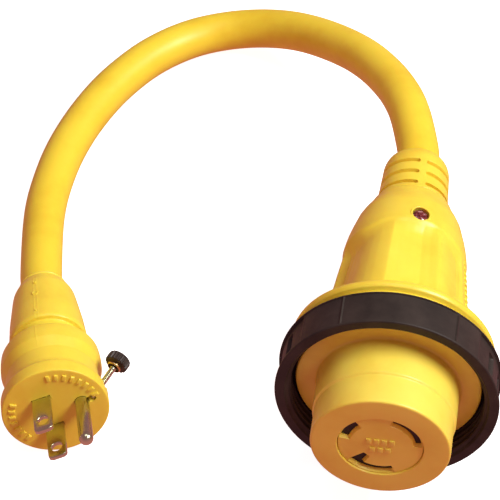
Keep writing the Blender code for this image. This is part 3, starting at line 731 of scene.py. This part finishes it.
def build_indicator():
    dome = [(LENS_R * 0.98 * sin(t), 19.0 + 0.9 * cos(t)) for t in [pi / 2 * k / 12 for k in range(13)]]
    dome[0] = (0, dome[0][1])

    def facets(r, z, angle, index):
        return r * (1 - 0.05 * abs(((angle * 8 / (2 * pi)) % 1.0) - 0.5))

    lens = lathe("lens", split_long(dome, 0.2) + [(LENS_R * 0.98, 16.0), (0, 16.0)], 64, facets)
    lens.transform(LENS_PLACE)
    place("lamp_lens", lens, CONN, LENS, "lens_plastic", nodes=["indicator_lens"], sharp=18)
    turns = [2 * pi * k / 24 for k in range(24)]
    rim = [(LENS_R + 0.48 + 0.38 * cos(t), 20.0 + 0.34 * sin(t)) for t in turns]
    collar = lathe("lens_collar", rim[::-1], 72)
    collar.transform(LENS_PLACE)
    place("lens_collar", collar, CONN, YELLOW, "yellow_moulding")
    glint = lathe("lamp_element", rounded([
        (0, 18.2), (0.9, 18.1, 0.2), (1.1, 16.6, 0.2), (1.1, 16.2), (0, 16.2)]), 32)
    glint.transform(LENS_PLACE)
    place("lamp_element", glint, CONN, STEEL, "steel")


NECK_ROWS = (106.3, 111.7, 117.1)
NECK_SLOTS = ((-160, 3), (23, 152))
NECK_SLOT_DEPTH = 2.3


def neck_slots(r, z, top):
    """Depth of the strain relief's slots, with round ends, at an angle from the top."""
    depth = 0.0
    for row in NECK_ROWS:
        for a0, a1 in NECK_SLOTS:
            middle, half = (a0 + a1) / 2, (a1 - a0) / 2
            along = max(abs(turn_between(top, middle)) - half, 0) * pi / 180 * r
            away = hypot(along, z - row)
            depth = max(depth, 1 - step(away, 0.62, 0.85))
    return NECK_SLOT_DEPTH * depth


def build_neck():
    outside = split_long(rounded([
        (9.1, -103.75), (12.9, -103.8, 0.4), (12.7, -104.6, 0.4), (12.2, -106.0, 0.8), (12.0, -108.5),
        (11.9, -110.0), (11.5, -117.5), (11.3, -121.0, 1.0), (10.6, -123.2, 1.0), (9.5, -124.7, 0.7),
        (8.2, -125.5, 0.4), (7.5, -125.5)]), 0.14)
    profile = outside + [(7.5, -101.0), (9.1, -101.0)]
    count = len(outside)

    def shape(r, z, angle, index):
        if index >= count or r < 10.5:
            return r
        return r - neck_slots(r, -z, degrees(pi / 2 - angle))

    mesh = lathe("neck", profile, 300, shape)
    place("relief_sleeve", mesh, CONN, YELLOW, "yellow_moulding", nodes=["strain_relief"], sharp=50)


# ---- plug -----------------------------------------------------------------------------------
BLADE_X, BLADE_SIDE, BLADE_W, BLADE_T, BLADE_OUT, TAIL = -2.6, 6.35, 6.35, 1.52, 15.2, 17.0
GROUND_X, GROUND_R, GROUND_OUT = 9.3, 2.38, 20.0
BLADE_HOLE_R, BLADE_HOLE_OUT = 1.9, 10.6
FIT = 0.12                          # gap between a blade or the pin and its opening
PARTING_TOP = -15.0                 # mould line, degrees from the top of the plug, before its roll
PLUG_ROLL = 18.0
PARTING_LINE = radians(90 - PARTING_TOP - PLUG_ROLL)


def build_plug_body():
    profile = split_long(rounded([
        (0, 0), (17.8, 0, 0.55), (17.8, -4.9, 0.35), (17.35, -5.3, 0.2), (17.2, -5.9, 0.4), (16.0, -7.4, 0.8),
        (15.6, -9.0, 0.8), (15.45, -15.0, 0.15), (16.85, -18.9, 0.15), (16.85, -22.0, 1.5),
        (16.5, -25.0, 0.7), (15.7, -25.9, 0.5), (12.75, -26.4, 0.2), (12.45, -26.0), (12.45, -9.0),
        (0, -9.0)]), 1.5)

    def seam(r, z, angle, index):
        if r < 15.7 or z > -6:
            return r
        return r + 0.06 * (1 - step(arc_between(angle, PARTING_LINE) * 16.0, 0.05, 0.3))

    mesh = lathe("plug_shell", profile, 560, seam)
    slots = []
    for y in (BLADE_SIDE, -BLADE_SIDE):
        w, t = BLADE_W / 2 + FIT, BLADE_T / 2 + FIT
        loop = [(BLADE_X - w, y - t), (BLADE_X + w, y - t), (BLADE_X + w, y + t), (BLADE_X - w, y + t)]
        slots.append(plate("slot", [loop], 1, -10))
    slots.append(plate("hole", [circle(GROUND_R + FIT, 48, GROUND_X, 0)], 1, -10))
    tilt = Matrix.Translation((SCREW_TIP_X, 0, 0)) @ SCREW_TURN
    for r, low, high in ((1.3, -2.0, 12), (2.05, 3.3, 14)):
        bore = lathe("bore", [(0, high), (r, high), (r, low), (0, low)], 48)
        bore.transform(tilt)
        slots.append(bore)
    mesh = carve(mesh, slots)
    place("plug_shell", mesh, PLUG, YELLOW, "yellow_moulding", nodes=["plug_body"])


def build_plug_marks():
    """Plain raised bars on two arcs, where the real face has its moulded rating."""
    marks = []
    for a0, count in ((24, 8), (165, 7)):
        for k in range(count):
            a = radians(a0 + 10.5 * k - PLUG_ROLL)
            spot = Matrix.Rotation(a, 4, "Z") @ Matrix.Translation((14.4, 0, 0))
            marks.append(bead(2.3, 1.3, 0.55, spot))
    place("plug_face_marks", join_meshes("plug_face_marks", marks), PLUG, YELLOW, "yellow_moulding")


def build_boot():
    profile = rounded([
        (11.1, -24.0), (11.5, -24.0, 0.2), (11.5, -33.0, 0.3), (12.8, -33.2, 0.3), (13.25, -34.3, 0.9),
        (12.6, -42.0), (11.7, -48.6), (11.0, -53.7, 1.5), (10.6, -56.0, 1.0), (9.8, -58.0, 0.8),
        (8.9, -60.0, 0.7), (8.55, -60.7, 0.2), (8.15, -60.9, 0.15), (8.1, -61.7, 0.15), (8.3, -61.9, 0.15),
        (8.05, -62.5, 0.2), (7.45, -62.5), (7.45, -47), (8.6, -46), (8.6, -38), (11.1, -33)])
    long = split_long(profile, 0.8)

    def shape(r, z, angle, index):
        if z > -33.4 or z < -58 or index > len(long) * 0.6:
            return r
        away = arc_between(angle, PARTING_LINE) * 12.0
        return r + 0.05 * (1 - step(abs(away - 0.55), 0.05, 0.3))

    place("boot", lathe("boot", long, 720, shape), PLUG, YELLOW, "yellow_moulding", nodes=["plug_boot"])
    spots = []
    turn = Matrix.Rotation(PARTING_LINE, 4, "Z")
    for r, z, size in ((11.9, -47.0, 1.1), (13.0, -37.0, 0.45), (11.1, -53.5, 0.45)):
        button = lathe("gate", rounded([
            (0, 0.22), (size * 0.6, 0.22, 0.1), (size * 0.8, 0.34, 0.1), (size, 0.3, 0.1), (size, -0.6),
            (0, -0.6)]), 32)
        button.transform(turn @ Matrix.Translation((r, 0, z)) @ Matrix.Rotation(pi / 2, 4, "Y"))
        spots.append(button)
    place("mould_gates", join_meshes("mould_gates", spots), PLUG, YELLOW, "yellow_moulding")


def build_blades():
    half, cut, tip = BLADE_W / 2, 1.3, BLADE_OUT
    for name, y in (("line_blade", BLADE_SIDE), ("neutral_blade", -BLADE_SIDE)):
        loop = [(-half, -TAIL), (half, -TAIL), (half, tip - cut), (half - 0.25, tip - 0.6), (half - cut, tip),
                (-half + cut, tip), (-half + 0.25, tip - 0.6), (-half, tip - cut)]
        hole = circle(BLADE_HOLE_R, 48, 0, BLADE_HOLE_OUT)
        mesh = plate(name, [loop, hole], -BLADE_T / 2, BLADE_T / 2, 0.28, 3)
        mesh.transform(Matrix.Translation((BLADE_X, y, 0)) @ Matrix.Rotation(pi / 2, 4, "X"))
        place(name + "_fine", mesh, PLUG, NICKEL, "nickel_plate", nodes=[name])


def build_ground_pin():
    """Rolled ground pin: a round tip and a seam down the side away from the blades."""
    tip = quarter_round(GROUND_R, GROUND_OUT)
    profile = split_long(tip + [(GROUND_R, -TAIL)], 1.0) + [(0, -TAIL)]

    def shape(r, z, angle, index):
        away = arc_between(angle, radians(20)) * GROUND_R
        return r - 0.4 * (1 - step(away, 0.12, 0.3)) * step(GROUND_OUT - z, 0.8, 2.2)

    mesh = lathe("ground_pin_fine", profile, 160, shape)
    mesh.transform(Matrix.Translation((GROUND_X, 0, 0)))
    place("ground_pin_fine", mesh, PLUG, NICKEL, "nickel_plate", nodes=["ground_pin"])


# ---- locking screw ---------------------------------------------------------------------------
SCREW_L, SHANK_R, KNOB_R, KNOB_T, SCREW_PITCH = 15.4, 1.1, 4.0, 3.2, 0.7
KNURLS, KNURL_DEPTH, THREAD_DEPTH, TIP_TAPER = 18, 0.5, 0.24, 0.4


def build_locking_screw():
    top = SCREW_L + KNOB_T
    profile = split_long(rounded([
        (0, top - 0.25), (1.6, top - 0.25, 0.2), (2.0, top, 0.3), (KNOB_R, top, 0.55), (KNOB_R, SCREW_L, 0.5),
        (0, SCREW_L)]), 0.3)

    def knurl(r, z, angle, index):
        if r < KNOB_R - 0.35:
            return r
        wave = abs(((angle * KNURLS / (2 * pi)) % 1.0) - 0.5) * 2
        return r - KNURL_DEPTH * (1 - step(wave, 0.15, 0.75))

    knob = lathe("thumb_knob", profile, 264, knurl)
    place("thumb_knob", knob, SCREW, KNOB_BLACK, "black_ring", "lock_screw", ["lock_screw_knob"])
    shank = [(0, SCREW_L - 0.3), (SHANK_R, SCREW_L - 0.3)]
    shank += [(SHANK_R, SCREW_L - 0.4 - 0.09 * k) for k in range(161)]
    shank += [(0.45, 0.6), (0.3, 0.45), (0, 0.45)]

    def thread(r, z, angle, index):
        if r < 1.0 or z > SCREW_L - 1.6:
            return r
        phase = (z / SCREW_PITCH + angle / (2 * pi)) % 1.0
        return r - THREAD_DEPTH * (1 - abs(phase - 0.5) * 2) - TIP_TAPER * (1 - step(z, 0.6, 3.2))

    screw = lathe("screw_shank", shank, 48, thread)
    place("screw_shank", screw, SCREW, NICKEL, "nickel_plate", "lock_screw", ["lock_screw_shank"], 60)
    low, high = SCREW_L - 1.3, SCREW_L - 0.4
    outline = rounded([
        (1.3, high, 0.1), (2.3, high, 0.2), (2.5, (low + high) / 2, 0.3), (2.3, low, 0.2), (1.3, low, 0.1)])
    washer = lathe("collar", outline[1:-1], 64)
    place("screw_collar", washer, SCREW, BRASS, "brass", "screw_slider", ["lock_screw_washer"])


# ---- stage -------------------------------------------------------------------------------------
FLOOR_HALF, FLOOR_Z = 6, -0.0003


def build_stage():
    """Plain pale floor that glows softly and leaves no tint on the object."""
    mesh = bpy.data.meshes.new("floor")
    corners = [(x * FLOOR_HALF, y * FLOOR_HALF, FLOOR_Z) for x, y in ((-1, -1), (1, -1), (1, 1), (-1, 1))]
    mesh.from_pydata(corners, [], [(0, 1, 2, 3)])
    floor = bpy.data.objects.new("floor", mesh)
    bpy.context.scene.collection.objects.link(floor)
    n = Nodes("floor")
    n.set(Base_Color=n.ramp(n.noise(3, 2), [(0.3, (0.80, 0.79, 0.78)), (0.7, (0.82, 0.815, 0.81))]))
    n.set(Roughness=0.9)
    n.set(Emission_Color=(0.95, 1.0, 1.0, 1), Emission_Strength=0.9)
    mesh.materials.append(n.mat)
    floor.visible_diffuse = floor.visible_glossy = False


def area(name, location, target, size, power, color):
    """Rectangular light that faces a target."""
    data = bpy.data.lights.new(name, "AREA")
    data.shape = "RECTANGLE"
    data.size, data.size_y = size
    data.energy = power
    data.color = color
    lamp = bpy.data.objects.new(name, data)
    lamp.location = location
    lamp.rotation_euler = (Vector(target) - Vector(location)).to_track_quat("-Z", "Y").to_euler()
    bpy.context.scene.collection.objects.link(lamp)


# warm surroundings: height from straight down (0) to straight up (1), and colour
SURROUNDINGS = ((0.3, (0.66, 0.23, 0.25, 1)), (0.52, (0.50, 0.20, 0.23, 1)), (0.85, (0.28, 0.15, 0.17, 1)))


def build_light():
    area("key", (0.96, -0.24, 1.28), (0, 0.03, 0.02), (0.8, 0.5), 26, (1.0, 0.985, 0.96))
    area("overhead", (-0.05, 0.12, 1.5), (0, 0.06, 0.02), (0.7, 0.5), 3, (1.0, 0.99, 0.98))
    world = bpy.data.worlds.new("world")
    world.use_nodes = True
    tree = world.node_tree
    place = tree.nodes.new("ShaderNodeTexCoord")
    split = tree.nodes.new("ShaderNodeSeparateXYZ")
    span = tree.nodes.new("ShaderNodeMapRange")
    ramp = tree.nodes.new("ShaderNodeValToRGB")
    span.inputs["From Min"].default_value = -1.0
    tree.links.new(place.outputs["Generated"], split.inputs["Vector"])
    tree.links.new(split.outputs["Z"], span.inputs["Value"])
    tree.links.new(span.outputs["Result"], ramp.inputs["Fac"])
    tree.links.new(ramp.outputs["Color"], tree.nodes["Background"].inputs["Color"])
    ramp.color_ramp.elements.new(0.5)
    for stop, (at, color) in zip(ramp.color_ramp.elements, SURROUNDINGS):
        stop.position = at
        stop.color = color
    bpy.context.scene.world = world
    bpy.context.scene.view_settings.view_transform = "Standard"


def main():
    build_camera()
    build_cable()
    build_nose()
    build_contact_face()
    build_ring()
    build_grip()
    build_indicator()
    build_neck()
    build_plug_body()
    build_plug_marks()
    build_boot()
    build_blades()
    build_ground_pin()
    build_locking_screw()
    finish_cad_nodes()
    build_stage()
    build_light()


main()
